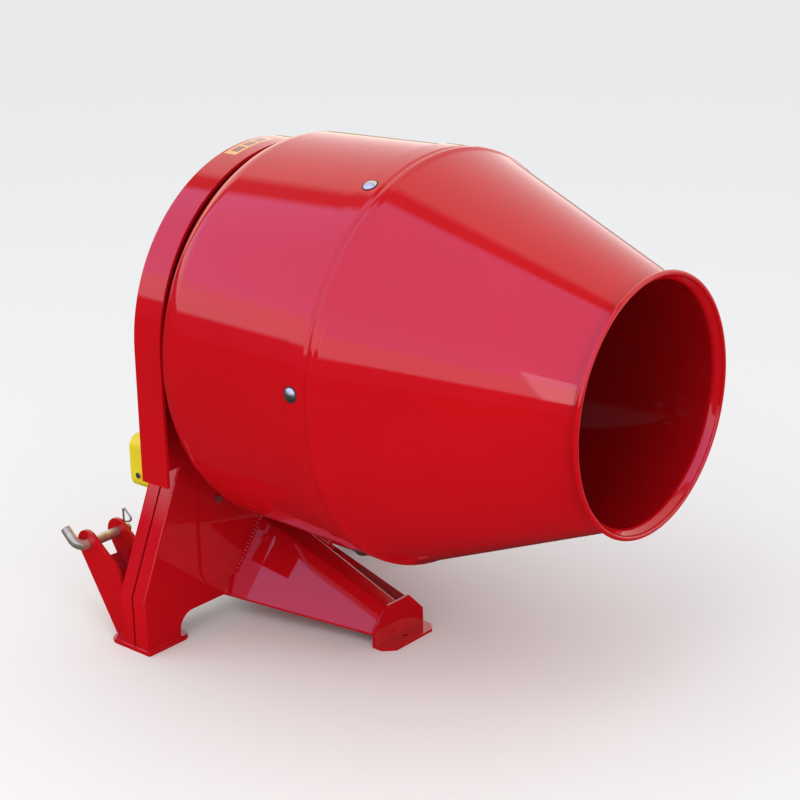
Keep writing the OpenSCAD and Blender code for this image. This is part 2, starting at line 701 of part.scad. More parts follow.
// Two matching sections joined into one closed solid
module skin(a, b) {
    n = len(a);
    polyhedron(points = concat(a, b), faces = concat(
        [[for (i = [0:n - 1]) i]],
        [[for (i = [n - 1:-1:0]) n + i]],
        [for (i = [0:n - 1]) each let (j = (i + 1) % n) [[i, n + i, n + j], [i, n + j, j]]]));
}
module front_leg() {
    color(red) in_place() difference() {
        skin(leg_section(frame_front_x, leg_root, 0), leg_section(front_foot_x, leg_tip, 0));
        skin(leg_section(frame_front_x - 1, leg_root, leg_plate_t),
            leg_section(front_foot_x + 1, leg_tip, leg_plate_t));
        translate([frame_front_x - 1, -doubler_half_w, doubler_low_z])
            cube([doubler_t + 1, 2 * doubler_half_w, 400]);
    }
}
module leg_bottom_plate() {
    function edge(x, s) = [[x, -s[0], s[3] - leg_plate_t], [x, s[0], s[3] - leg_plate_t],
        [x, s[0], s[3]], [x, -s[0], s[3]]];
    color(red) in_place() skin(edge(frame_front_x, leg_root), edge(front_foot_x, leg_tip));
}

// Bent plate under the leg's tip, with one hole for a peg
foot_plate_t = 6;
foot_half_w = 82;
front_foot_len = 49;
peg_hole_r = 5.5;
peg_hole_x = 23;
module front_foot() {
    color(red) in_place() {
        plate_x(front_foot_x, foot_plate_t) translate([0, ground_z]) polygon([
            [-foot_half_w, 0], [foot_half_w, 0], [foot_half_w, 37],
            [35, 84], [-35, 84], [-foot_half_w, 37]]);
        difference() {
            translate([0, 0, ground_z]) linear_extrude(foot_plate_t) polygon([
                [front_foot_x, -foot_half_w], [front_foot_x, foot_half_w],
                [front_foot_x + front_foot_len - 22, foot_half_w],
                [front_foot_x + front_foot_len, foot_half_w - 22],
                [front_foot_x + front_foot_len, -foot_half_w + 22],
                [front_foot_x + front_foot_len - 22, -foot_half_w]]);
            translate([front_foot_x + peg_hole_x, 0, ground_z - 1])
                cylinder(h = foot_plate_t + 2, r = peg_hole_r);
        }
    }
}

// ---------- Hitch ----------

ear_r = 31;
// The point where a line from e touches a circle round c, on the given side
function touch(c, r, e, side) = let (d = e - c, a = atan2(d[1], d[0]) + side * acos(r / norm(d)))
    c + r * [cos(a), sin(a)];
link_pin = [pin_x, link_z];
ear_heel = [frame_rear_x - 39, foot_top_z];
ear_brow = [frame_rear_x - 33, link_z - 29];
ear_root_z = ground_z + 110;
module hitch_ear(y) {
    color(red) in_place() plate_y(y, ear_t) difference() {
        union() {
            polygon([[frame_rear_x, foot_top_z], [frame_rear_x, ear_root_z], ear_brow,
                touch(link_pin, ear_r, ear_brow, 1), touch(link_pin, ear_r, ear_heel, -1), ear_heel]);
            translate(link_pin) circle(r = ear_r);
        }
        translate(link_pin) circle(r = link_pin_d / 2 + pin_gap);
    }
}
ear_outer_y = link_half + link_gap / 2 + ear_t / 2;
ear_inner_y = link_half - link_gap / 2 - ear_t / 2;
module hitch_ear_outer_left() { hitch_ear(-ear_outer_y); }
module hitch_ear_outer_right() { hitch_ear(ear_outer_y); }
module hitch_ear_inner_left() { hitch_ear(-ear_inner_y); }
module hitch_ear_inner_right() { hitch_ear(ear_inner_y); }

// Cross plate between the two ears of a clevis, flush with their rear edges, below the pin
bridge_t = 8;
bridge_drop = 51;
module hitch_bridge(y) {
    rise = touch(link_pin, ear_r, ear_heel, -1) - ear_heel;
    function rear_edge(z) = ear_heel + rise * (z - foot_top_z) / rise[1];
    color(red) in_place() plate_y(y, link_gap) difference() {
        strip([rear_edge(foot_top_z - 20), rear_edge(link_z - bridge_drop)], bridge_t);
        translate([pin_x, foot_top_z - 40]) square([link_back, 40]);
    }
}
module hitch_bridge_left() { hitch_bridge(-link_half); }
module hitch_bridge_right() { hitch_bridge(link_half); }

top_x = frame_rear_x - top_back;
top_ear_r = 32;
module top_link_ear(side) {
    y = side * (top_gap + ear_t) / 2;
    color(red) in_place() plate_y(y, ear_t) difference() {
        polygon(round_outline([
            [frame_rear_x, top_z - 50, 0], [frame_rear_x, top_z + 50, 0],
            [top_x - top_ear_r, top_z + top_ear_r, top_ear_r - 0.1],
            [top_x - top_ear_r, top_z - top_ear_r, top_ear_r - 0.1]], 12));
        translate([top_x, top_z]) circle(r = top_pin_d / 2 + pin_gap);
    }
}
module top_link_ear_left() { top_link_ear(-1); }
module top_link_ear_right() { top_link_ear(1); }

// A pin along Y with its far end bent over as a handle. It lies on the Y axis from the clip's
// end, inner, out to -Y, and the handle starts at outer.
pin_tail = 24;
clip_in = 12;
clip_wire_r = 2.3;
clip_gap = 0.25;
chamfer = 1.5;
module bent_pin(inner, outer, d) {
    color(zinc_yellow) difference() {
        rotate([0, handle_rise, 0]) {
            rod_y(outer, inner - chamfer - outer, d / 2);
            translate([0, inner - chamfer, 0]) rotate([-90, 0, 0])
                cylinder(h = chamfer, r1 = d / 2, r2 = d / 2 - chamfer);
            translate([-pin_bend_r, outer, 0]) rotate([0, 0, -90]) rotate_extrude(angle = 90)
                translate([pin_bend_r, 0]) circle(r = d / 2, $fn = 48);
            translate([-pin_bend_r, outer - pin_bend_r, 0]) rotate([0, -90, 0]) {
                cylinder(h = handle_len - chamfer, r = d / 2);
                translate([0, 0, handle_len - chamfer])
                    cylinder(h = chamfer, r1 = d / 2, r2 = d / 2 - chamfer);
            }
        }
        translate([0, inner - clip_in, -d]) cylinder(h = 2 * d, r = clip_wire_r + clip_gap);
    }
}
lower_pin_inner = -ear_inner_y + ear_t / 2 + pin_tail;
lower_pin_outer = -ear_outer_y - ear_t / 2 - 4;
top_pin_inner = top_gap / 2 + ear_t + pin_tail;
top_pin_outer = -top_gap / 2 - ear_t - 4;
module lower_pin() {
    in_place() translate([pin_x, 0, link_z]) bent_pin(lower_pin_inner, lower_pin_outer, link_pin_d);
}
module lower_pin_left() { lower_pin(); }
module lower_pin_right() { mirror([0, 1, 0]) lower_pin(); }
module top_link_pin() {
    in_place() translate([top_x, 0, top_z]) bent_pin(top_pin_inner, top_pin_outer, top_pin_d);
}

// Wire clip: a straight leg down through the pin, with a three-sided loop above it. The wire is
// a hair thicker at each bend.
module wire(points, r) {
    for (i = [0:len(points) - 2]) let (a = points[i], b = points[i + 1], d = b - a) {
        translate(a) rotate([0, acos(d[2] / norm(d)), atan2(d[1], d[0])])
            cylinder(h = norm(d), r = r, $fn = 24);
        if (i > 0) translate(a) sphere(r = r + 0.15, $fn = 24);
    }
}
module clip(r) {
    color(steel) wire([[0, 0, -r - 7], [0, 0, r + 36], [5, 0, r + 38], [23, 0, r + 23],
        [24, 0, r + 17], [19, 0, r + 12], [clip_wire_r * 2.4, 0, r + 8]], clip_wire_r);
}
module lower_clip() {
    in_place() translate([pin_x, lower_pin_inner - clip_in, link_z]) clip(link_pin_d / 2);
}
module clip_left() { lower_clip(); }
module clip_right() { mirror([0, 1, 0]) lower_clip(); }
module clip_top() {
    in_place() translate([top_x, top_pin_inner - clip_in, top_z]) clip(top_pin_d / 2);
}

// ---------- Gear cover ----------

cover_r = drum_r - rear_taper - shoulder_r + cover_gap;
cover_x = frame_front_x - 17;
cover_lip = 8;
cover_rise = 13;                     // the arch's middle stands this far above the drum's axis
cover_back_rise = 12;                // the back plate stops this far above the rim's ends
cover_bolt_r = 5;
cover_bolt_at = [[100, 78], [165, -100], [190, -150]];
cover_hole_r = drum_bearing[4] * sqrt(2) + 3;
module arch(r, drop) {
    intersection() {
        union() {
            translate([0, cover_rise]) circle(r = r, $fn = 180);
            translate([-r, -drop]) square([2 * r, drop + cover_rise]);
        }
        translate([-r, -drop]) square([2 * r, drop + cover_rise + r]);
    }
}
module gear_cover_rim() {
    color(red) in_place() {
        plate_x(cover_x, cover_depth) difference() {
            arch(cover_r, cover_drop);
            arch(cover_r - cover_t, cover_drop + 1);
        }
        plate_x(cover_x + cover_depth - cover_t, cover_t) difference() {
            arch(cover_r - cover_t / 2, cover_drop);
            arch(cover_r - cover_lip, cover_drop + 1);
        }
    }
}
module gear_cover_back() {
    color(red) in_place() difference() {
        plate_x(doubler_x, cover_t) arch(cover_r - cover_t, cover_drop - cover_back_rise);
        rod_x(doubler_x - 1, cover_t + 2, cover_hole_r);
        cover_bolt_cuts(doubler_x, cover_t);
    }
}
module cover_bolts() {
    grip = frame_t + doubler_t;
    color(steel) in_place() for (p = cover_bolt_at) both_sides() translate([doubler_x, p[0], p[1]]) {
        rod_x(-grip - 7, grip + cover_t + 10, cover_bolt_r, $fn = 32);
        hex_x(cover_t + 0.1, 6, 8.8);
        hex_x(-grip - 6.1, 6, 8.8);
    }
}

frame_front_plate();
frame_rear_plate();
frame_doubler();
rear_foot_left();
rear_foot_right();
hitch_ear_outer_left();
hitch_ear_outer_right();
hitch_ear_inner_left();
hitch_ear_inner_right();
hitch_bridge_left();
hitch_bridge_right();
top_link_ear_left();
top_link_ear_right();
front_leg();
leg_bottom_plate();
front_foot();
gear_cover_rim();
gear_cover_back();
cover_bolts();
drum_bearing_front();
drum_bearing_rear();
drum_bearing_balls();
drum_bearing_bolts();
pto_bearing_front();
pto_bearing_rear();
pto_bearing_balls();
pto_bearing_bolts();
pto_guard();
guard_screws();
drum_rear_shell();
drum_front_shell();
mouth_rim();
seam_bolts();
seam_nuts();
paddle_a();
paddle_b();
paddle_c();
hub_plate();
hub_bolts();
drum_shaft();
shaft_collar();
drum_race_front();
drum_race_rear();
ring_gear();
ring_gear_bolts();
pto_shaft();
pinion();
pinion_key();
pinion_end_bolt();
pto_race_front();
pto_race_rear();
lower_pin_left();
lower_pin_right();
top_link_pin();
clip_left();
clip_right();
clip_top();
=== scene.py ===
"""Looks of a tractor-mounted drum concrete mixer: painted drum, folded frame, pins and guard."""
import json
import math
import bmesh
import bpy
from mathutils import Matrix, Vector, noise


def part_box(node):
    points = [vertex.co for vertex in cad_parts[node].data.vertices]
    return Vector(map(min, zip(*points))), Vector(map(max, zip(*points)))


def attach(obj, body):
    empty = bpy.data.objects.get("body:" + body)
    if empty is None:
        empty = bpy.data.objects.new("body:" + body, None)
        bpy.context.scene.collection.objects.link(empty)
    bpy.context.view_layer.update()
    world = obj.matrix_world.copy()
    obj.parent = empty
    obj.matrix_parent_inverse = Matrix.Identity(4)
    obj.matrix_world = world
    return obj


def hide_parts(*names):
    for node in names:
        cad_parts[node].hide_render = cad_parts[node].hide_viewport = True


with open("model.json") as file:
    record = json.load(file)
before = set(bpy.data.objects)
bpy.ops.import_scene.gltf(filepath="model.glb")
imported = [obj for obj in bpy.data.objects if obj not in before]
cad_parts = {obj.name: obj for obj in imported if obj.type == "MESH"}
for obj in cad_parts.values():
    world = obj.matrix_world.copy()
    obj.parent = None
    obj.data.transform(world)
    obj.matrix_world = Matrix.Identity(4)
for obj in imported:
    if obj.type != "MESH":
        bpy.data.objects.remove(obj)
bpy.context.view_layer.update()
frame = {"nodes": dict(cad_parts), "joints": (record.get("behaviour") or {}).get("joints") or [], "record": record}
NODES = frame["nodes"]
BODY_OF = {n: b for b, names in frame["record"]["behaviour"]["bodies"].items() for n in names}
JOINT = {j["name"]: j for j in frame["joints"]}
SEAM = Vector(JOINT["drum_spin"]["pos_m"])              # middle of the drum's seam
MM = 0.001

# ---------------------------------------------------------------- meshes

def finish_mesh(bm, name, smooth_angle=40.0, recalc=True):
    """Turns a bmesh in the machine's frame into an object with soft shading below an angle."""
    bmesh.ops.remove_doubles(bm, verts=bm.verts, dist=1e-6)
    if recalc:
        bmesh.ops.recalc_face_normals(bm, faces=bm.faces)
    for f in bm.faces:
        f.smooth = True
    for e in bm.edges:
        e.smooth = len(e.link_faces) != 2 or e.calc_face_angle(0.0) < math.radians(smooth_angle)
    mesh = bpy.data.meshes.new(name)
    bm.to_mesh(mesh)
    bm.free()
    obj = bpy.data.objects.new(name, mesh)
    bpy.context.scene.collection.objects.link(obj)
    return obj


def fillet(a, b, c, radius, steps):
    """Points of a round corner at b, between the lines to a and c, all 2-D."""
    u, w = (a - b).normalized(), (c - b).normalized()
    half = u.angle(w) / 2
    middle = b + (u + w).normalized() * (radius / math.sin(half))
    start = b + u * (radius / math.tan(half))
    turn = 1.0 if u.x * w.y - u.y * w.x > 0 else -1.0
    first = start - middle
    out = []
    for i in range(steps + 1):
        q = -turn * i / steps * (math.pi - 2 * half)
        out.append(middle + Vector((first.x * math.cos(q) - first.y * math.sin(q),
                                    first.x * math.sin(q) + first.y * math.cos(q))))
    return out


def rounded(points, closed=False, steps=8):
    """A path of (x, y, corner radius) as 2-D points with the corners made round."""
    flat = [Vector(p[:2]) for p in points]
    n = len(points)
    out = []
    for i, p in enumerate(points):
        if (not closed and i in (0, n - 1)) or p[2] == 0:
            out.append(flat[i])
        else:
            out += fillet(flat[i - 1], flat[i], flat[(i + 1) % n], p[2], steps)
    return out


def beside(path, d):
    """The 2-D path moved d to its left."""
    out = []
    for i, p in enumerate(path):
        a, b = path[max(i - 1, 0)], path[max(i, 1)]
        c, e = path[min(i, len(path) - 2)], path[min(i + 1, len(path) - 1)]
        n1 = Vector((a.y - b.y, b.x - a.x)).normalized()
        n2 = Vector((c.y - e.y, e.x - c.x)).normalized()
        out.append(p + (n1 + n2) * (d / (1 + n1.dot(n2))))
    return out


def sheet_profile(path, wall):
    """A closed outline: the path, and the path moved inwards by the wall."""
    inner = beside(path, -wall)
    return path + inner[::-1]


def lathe(profile, name, turns=192, centre=SEAM, smooth_angle=40.0):
    """A closed outline of (x, radius) points spun about the line along X through the centre."""
    bm = bmesh.new()
    verts = [bm.verts.new(centre + Vector((p.x, 0, p.y))) for p in profile]
    edges = [bm.edges.new((verts[i], verts[(i + 1) % len(verts)])) for i in range(len(verts))]
    bmesh.ops.spin(bm, geom=verts + edges, cent=centre, axis=(1, 0, 0), angle=2 * math.pi,
                   steps=turns, use_merge=True)
    return finish_mesh(bm, name, smooth_angle)


def ring_tube(bm, points, radius_at, sides=8, closed=False, up=Vector((0, 0, 1))):
    """Rings along a line of points, bridged into one tube. radius_at(i) is point i's radius."""
    n = len(points)
    rings = []
    for i, p in enumerate(points):
        ahead = points[(i + 1) % n] if closed or i < n - 1 else p
        behind = points[i - 1] if closed or i > 0 else p
        t = (ahead - behind).normalized()
        side = t.cross(up)
        side = side.normalized() if side.length > 1e-4 else t.orthogonal().normalized()
        place = Matrix((side, side.cross(t), t)).transposed().to_4x4()
        place.translation = p
        capped = not closed and i in (0, n - 1)
        made = bmesh.ops.create_circle(bm, cap_ends=capped, segments=sides, radius=radius_at(i),
                                       matrix=place)
        verts = set(made["verts"])
        rings.append([e for v in verts for e in v.link_edges if e.other_vert(v) in verts])
    for i in range(n if closed else n - 1):
        bmesh.ops.bridge_loops(bm, edges=list(set(rings[i] + rings[(i + 1) % n])))


# ---------------------------------------------------------------- materials

def new_group(name, inputs, outputs):
    """A shader node group with named sockets. inputs: (name, type, default)."""
    g = bpy.data.node_groups.new(name, "ShaderNodeTree")
    for label, kind, default in inputs:
        s = g.interface.new_socket(label, in_out="INPUT", socket_type=kind)
        s.default_value = default
    for label, kind in outputs:
        g.interface.new_socket(label, in_out="OUTPUT", socket_type=kind)
    return g, g.nodes.new("NodeGroupInput"), g.nodes.new("NodeGroupOutput")


def add(tree, kind, **values):
    """A node with its properties and input defaults set by name."""
    node = tree.nodes.new(kind)
    for key, value in values.items():
        if hasattr(node, key):
            setattr(node, key, value)
        else:
            node.inputs[key.replace("_", " ")].default_value = value
    return node


def make_mottle_group():
    """Slow drift between two colours, and a value that lifts or drops roughness with it."""
    g, i, o = new_group("mottle", [
        ("Colour A", "NodeSocketColor", (1, 1, 1, 1)),
        ("Colour B", "NodeSocketColor", (1, 1, 1, 1)),
        ("Scale", "NodeSocketFloat", 6.0), ("Rough low", "NodeSocketFloat", 0.2),
        ("Rough high", "NodeSocketFloat", 0.3)],
        [("Colour", "NodeSocketColor"), ("Roughness", "NodeSocketFloat")])
    where = add(g, "ShaderNodeTexCoord")
    cloud = add(g, "ShaderNodeTexNoise", Detail=5.0, Roughness=0.6)
    ramp = add(g, "ShaderNodeMapRange", From_Min=0.34, From_Max=0.66)
    mix = add(g, "ShaderNodeMix", data_type="RGBA")
    rough = add(g, "ShaderNodeMapRange", From_Min=0.3, From_Max=0.7)
    link = g.links.new
    link(where.outputs["Object"], cloud.inputs["Vector"])
    link(i.outputs["Scale"], cloud.inputs["Scale"])
    link(cloud.outputs["Fac"], ramp.inputs["Value"])
    link(ramp.outputs["Result"], mix.inputs["Factor"])
    link(i.outputs["Colour A"], mix.inputs[6])
    link(i.outputs["Colour B"], mix.inputs[7])
    link(cloud.outputs["Fac"], rough.inputs["Value"])
    link(i.outputs["Rough low"], rough.inputs["To Min"])
    link(i.outputs["Rough high"], rough.inputs["To Max"])
    link(mix.outputs[2], o.inputs["Colour"])
    link(rough.outputs["Result"], o.inputs["Roughness"])
    return g


def make_skin_group():
    """Fine surface relief: orange peel on paint, grain on castings and plastic."""
    g, i, o = new_group("surface_relief", [
        ("Fine scale", "NodeSocketFloat", 300.0), ("Fine depth", "NodeSocketFloat", 0.0001),
        ("Broad scale", "NodeSocketFloat", 14.0), ("Broad depth", "NodeSocketFloat", 0.0004)],
        [("Normal", "NodeSocketVector")])
    where = add(g, "ShaderNodeTexCoord")
    fine = add(g, "ShaderNodeTexNoise", Detail=2.0)
    broad = add(g, "ShaderNodeTexNoise", Detail=3.0)
    bump_broad = add(g, "ShaderNodeBump", Strength=1.0)
    bump_fine = add(g, "ShaderNodeBump", Strength=1.0)
    link = g.links.new
    for tex, scale in ((fine, "Fine scale"), (broad, "Broad scale")):
        link(where.outputs["Object"], tex.inputs["Vector"])
        link(i.outputs[scale], tex.inputs["Scale"])
    link(broad.outputs["Fac"], bump_broad.inputs["Height"])
    link(i.outputs["Broad depth"], bump_broad.inputs["Distance"])
    link(fine.outputs["Fac"], bump_fine.inputs["Height"])
    link(i.outputs["Fine depth"], bump_fine.inputs["Distance"])
    link(bump_broad.outputs["Normal"], bump_fine.inputs["Normal"])
    link(bump_fine.outputs["Normal"], o.inputs["Normal"])
    return g


MOTTLE = make_mottle_group()
RELIEF = make_skin_group()


def material(name, colour_a, colour_b, scale, rough, relief, metallic=0.0, coat=0.0,
             coat_rough=0.03, specular=0.5):
    """A Principled material whose colour and roughness drift slowly, with fine relief."""
    m = bpy.data.materials.new(name)
    m.use_nodes = True
    t = m.node_tree
    shader = t.nodes["Principled BSDF"]
    shader.inputs["Metallic"].default_value = metallic
    shader.inputs["Coat Weight"].default_value = coat
    shader.inputs["Coat Roughness"].default_value = coat_rough
    shader.inputs["Specular IOR Level"].default_value = specular
    mottle = add(t, "ShaderNodeGroup", node_tree=MOTTLE)
    mottle.inputs["Colour A"].default_value = (*colour_a, 1)
    mottle.inputs["Colour B"].default_value = (*colour_b, 1)
    mottle.inputs["Scale"].default_value = scale
    mottle.inputs["Rough low"].default_value = rough[0]
    mottle.inputs["Rough high"].default_value = rough[1]
    skin = add(t, "ShaderNodeGroup", node_tree=RELIEF)
    for label, value in zip(("Fine scale", "Fine depth", "Broad scale", "Broad depth"), relief):
        skin.inputs[label].default_value = value
    t.links.new(mottle.outputs["Colour"], shader.inputs["Base Color"])
    t.links.new(mottle.outputs["Roughness"], shader.inputs["Roughness"])
    t.links.new(skin.outputs["Normal"], shader.inputs["Normal"])
    return m


RED = material("red_paint", (0.515, 0.0040, 0.0085), (0.475, 0.0034, 0.0072), 3.0, (0.24, 0.32),
               (420.0, 0.00003, 7.0, 0.0004), coat=1.0, coat_rough=0.035, specular=0.0)
INNER_RED = material("inner_red_paint", (0.40, 0.006, 0.012), (0.31, 0.005, 0.010), 5.0,
                     (0.40, 0.55), (380.0, 0.00006, 12.0, 0.0008), coat=0.35, coat_rough=0.2, specular=0.3)
YELLOW_ZINC = material("yellow_zinc", (0.70, 0.63, 0.44), (0.46, 0.42, 0.31), 60.0, (0.36, 0.52),
                       (900.0, 0.00003, 90.0, 0.00006), metallic=0.8)
WIRE = material("clip_wire", (0.55, 0.56, 0.53), (0.38, 0.39, 0.37), 80.0, (0.38, 0.52),
                (900.0, 0.00003, 120.0, 0.00005), metallic=0.8)
ZINC = material("bright_zinc", (0.72, 0.70, 0.62), (0.52, 0.51, 0.46), 90.0, (0.30, 0.44),
                (900.0, 0.00003, 90.0, 0.00005), metallic=1.0)
STEEL = material("machined_steel", (0.60, 0.60, 0.59), (0.48, 0.48, 0.47), 40.0, (0.22, 0.38),
                 (1200.0, 0.00002, 60.0, 0.00003), metallic=1.0)
CAST = material("cast_iron", (0.055, 0.055, 0.058), (0.035, 0.034, 0.033), 30.0, (0.50, 0.70),
                (500.0, 0.00018, 40.0, 0.0003), metallic=0.3)
GUARD = material("yellow_plastic", (0.86, 0.72, 0.008), (0.78, 0.63, 0.006), 12.0, (0.24, 0.36),
                 (700.0, 0.00005, 30.0, 0.0002))
# near-black colour for the rings round the seam's dome bolts: painted shadow under each head
BOLT_SHADOW_PAINT = material("painted_bolt_shadow", (0.030, 0.026, 0.026), (0.018, 0.016, 0.016), 60.0, (0.5, 0.65),
                  (700.0, 0.00003, 60.0, 0.00004))
AMBER = material("amber_print", (0.80, 0.42, 0.08), (0.74, 0.36, 0.06), 40.0, (0.25, 0.35),
                 (700.0, 0.00002, 60.0, 0.00004), coat=0.5)
MAROON = material("maroon_print", (0.26, 0.012, 0.010), (0.22, 0.010, 0.008), 40.0, (0.25, 0.35),
                  (700.0, 0.00002, 60.0, 0.00004), coat=0.5)

SLOT_MATERIAL = {
    "red_paint": RED, "inner_red": INNER_RED, "zinc_yellow": YELLOW_ZINC, "clip_wire": WIRE,
    "zinc_bolt": ZINC, "bright_steel": STEEL, "cast_iron": CAST, "guard_plastic": GUARD,
}
NODE_SLOT = {s["node"]: s["material_slot"] for s in frame["record"]["subparts"]}


def dress(obj, mat):
    obj.data.materials.clear()
    obj.data.materials.append(mat)
    return obj


def piece(obj, body, mat, replaces=()):
    dress(obj, mat)
    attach(obj, body)
    if replaces:
        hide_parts(*replaces)
    return obj


def even_shade(obj):
    even = obj.modifiers.new("even_shade", "WEIGHTED_NORMAL")
    even.keep_sharp = True
    return obj

# ---------------------------------------------------------------- plates, castings, pins and bolts

def merged(name):
    """A joined copy of a node's loose triangles, with its flat faces made whole."""
    bm = bmesh.new()
    bm.from_mesh(NODES[name].data)
    bmesh.ops.remove_doubles(bm, verts=bm.verts, dist=2e-5)
    bmesh.ops.dissolve_limit(bm, angle_limit=math.radians(0.4), verts=bm.verts, edges=bm.edges)
    return bm


SHARP_EDGE = math.radians(30)            # edges that turn more than this are rounded over
# Width of the rounded edge on each piece, in millimetres. Zero only joins and smooths the piece.
EDGE_ROUND = {
    "frame_front_plate": 1.2, "frame_rear_plate": 1.2, "frame_doubler": 1.2,
    "rear_foot_left": 1.4, "rear_foot_right": 1.4, "front_foot": 1.4, "front_leg": 1.2,
    "leg_bottom_plate": 1.0, "gear_cover_rim": 0.7, "gear_cover_back": 0.6,
    "hitch_ear_outer_left": 1.5, "hitch_ear_outer_right": 1.5, "hitch_ear_inner_left": 1.5,
    "hitch_ear_inner_right": 1.5, "hitch_bridge_left": 1.0, "hitch_bridge_right": 1.0,
    "top_link_ear_left": 1.5, "top_link_ear_right": 1.5, "hub_plate": 0.8, "ring_gear": 0.4,
    "drum_bearing_front": 1.2, "drum_bearing_rear": 1.2, "pto_bearing_front": 1.0,
    "pto_bearing_rear": 1.0, "lower_pin_left": 0.9, "lower_pin_right": 0.9, "top_link_pin": 0.9,
    "clip_left": 0, "clip_right": 0, "clip_top": 0, "pto_guard": 1.2, "paddle_a": 0.9,
    "paddle_b": 0.9, "paddle_c": 0.9, "seam_bolts": 0.4, "seam_nuts": 0.5, "hub_bolts": 0.5,
    "ring_gear_bolts": 0.5, "cover_bolts": 0.5, "drum_bearing_bolts": 0.5,
    "pto_bearing_bolts": 0.5, "guard_screws": 0.3, "drum_shaft": 0.8, "shaft_collar": 0.7,
    "pto_shaft": 0.3, "pinion": 0.3, "pinion_end_bolt": 0.4,
}


# The frame's sheets are folded, not cut, along the corner between face and side
FOLD_ROUND = {"frame_front_plate": 4.5, "frame_rear_plate": 4.5}
SHORTEST_FOLD = 40 * MM


def bend_folds(bm, name):
    """Rounds the outside of each long fold."""
    out = 1 if name == "frame_front_plate" else -1
    folds = []
    for e in bm.edges:
        if len(e.link_faces) != 2 or e.calc_length() < SHORTEST_FOLD:
            continue
        a, b = (f.normal for f in e.link_faces)
        face, side = (a, b) if abs(a.x) > abs(b.x) else (b, a)
        if face.x * out > 0.9 and abs(side.x) < 0.1 and abs(side.y) > 0.5 and e.is_convex:
            middle = (e.verts[0].co + e.verts[1].co) / 2
            if side.y * (middle.y - SEAM.y) > 0:
                folds.append(e)
    bmesh.ops.bevel(bm, geom=folds, offset=FOLD_ROUND[name] * MM, offset_type="OFFSET",
                    affect="EDGES", segments=4, profile=0.5, material=-1, clamp_overlap=False)


def soften(name, width):
    """Stands for a node: the same piece with its edges rounded over."""
    bm = merged(name)
    if name in FOLD_ROUND:
        bend_folds(bm, name)
    if width:
        sharp = [e for e in bm.edges
                 if len(e.link_faces) == 2 and e.calc_face_angle(0.0) > SHARP_EDGE]
        bmesh.ops.bevel(bm, geom=sharp, offset=width * MM, offset_type="OFFSET", affect="EDGES",
                        segments=2, profile=0.5, material=-1, clamp_overlap=True)
    obj = finish_mesh(bm, "soft_" + name, 38.0 if width else 60.0, recalc=False)
    return even_shade(piece(obj, BODY_OF[name], SLOT_MATERIAL[NODE_SLOT[name]],
                            [name]))


for name, obj in NODES.items():
    dress(obj, SLOT_MATERIAL[NODE_SLOT[name]])
for name, width in EDGE_ROUND.items():
    soften(name, width)

# ---------------------------------------------------------------- drum shells

SHELL = [Vector(v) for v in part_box("drum_front_shell")]
REAR = [Vector(v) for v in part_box("drum_rear_shell")]
RIM = [Vector(v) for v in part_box("mouth_rim")]
WALL = 3 * MM
LAP = SEAM.x - SHELL[0].x                               # the front shell laps this far back
REAR_LEN = SEAM.x - REAR[0].x
MOUTH_LEN = RIM[1].x - SEAM.x
LAP_R = (REAR[1].y - REAR[0].y) / 2
DRUM_R = LAP_R + WALL + 0.2 * MM
SHOULDER = 80 * MM                                      # round corner at the drum's back
CONE = math.tan(math.radians(21.9))
LIP = 26 * MM
LIP_BEAD = 5 * MM
BORE_R = 55 * MM


def cone_r(x):
    """Outside radius of the cone at a distance x in front of the seam."""
    return DRUM_R + 3.1 * MM - CONE * x


# Each shell's path has points of (distance in front of the seam, outside radius, corner radius)

def rear_shell():
    path = rounded([
        (-REAR_LEN, BORE_R, 0), (-REAR_LEN, LAP_R - 8 * MM, SHOULDER), (-LAP, LAP_R, 0),
        (-14 * MM, LAP_R, 0)], steps=40)
    return lathe(sheet_profile(path, WALL), "painted_rear_shell")


def front_shell():
    path = rounded([
        (-LAP, DRUM_R - 0.6 * MM, 0), (-LAP + 0.6 * MM, DRUM_R, 0),
        (-8 * MM, DRUM_R, 8 * MM), (0, DRUM_R - 3.2 * MM, 5 * MM),
        (6 * MM, DRUM_R + 1.05 * MM, 5 * MM),
        (15 * MM, DRUM_R + 0.5 * MM, 6 * MM), (23 * MM, cone_r(23 * MM), 14 * MM),
        (MOUTH_LEN - LIP, cone_r(MOUTH_LEN - LIP), 0)], steps=8)
    return lathe(sheet_profile(path, WALL), "painted_cone_shell")


def mouth_rim():
    """The neck turned out and rolled over into a round bead."""
    neck = cone_r(MOUTH_LEN - LIP)
    lip = cone_r(MOUTH_LEN) + LIP
    corner = Vector((MOUTH_LEN - LIP + 7 * MM, neck - 7 * MM * CONE))
    centre = Vector((MOUTH_LEN - LIP_BEAD, lip - LIP_BEAD))
    along = (centre - corner).normalized()
    across = Vector((along.y, -along.x))
    meets = centre - along * LIP_BEAD
    path = rounded([(MOUTH_LEN - LIP, neck, 0), (corner.x, corner.y, 9 * MM),
                    (meets.x, meets.y, 0)], steps=8)
    inner = beside(path, -WALL)
    lands = across * WALL - along * math.sqrt(LIP_BEAD ** 2 - WALL ** 2)
    first = math.atan2(-along.y, -along.x) + 2 * math.pi
    last = math.atan2(lands.y, lands.x)
    bead = [centre + LIP_BEAD * Vector((math.cos(a), math.sin(a)))
            for a in (first + (last - first) * k / 22 for k in range(1, 23))]
    return lathe(path + bead + inner[::-1], "painted_mouth_rim", smooth_angle=60)


piece(rear_shell(), "drum", RED, ["drum_rear_shell"])
piece(front_shell(), "drum", RED, ["drum_front_shell"])
piece(mouth_rim(), "drum", RED, ["mouth_rim"])
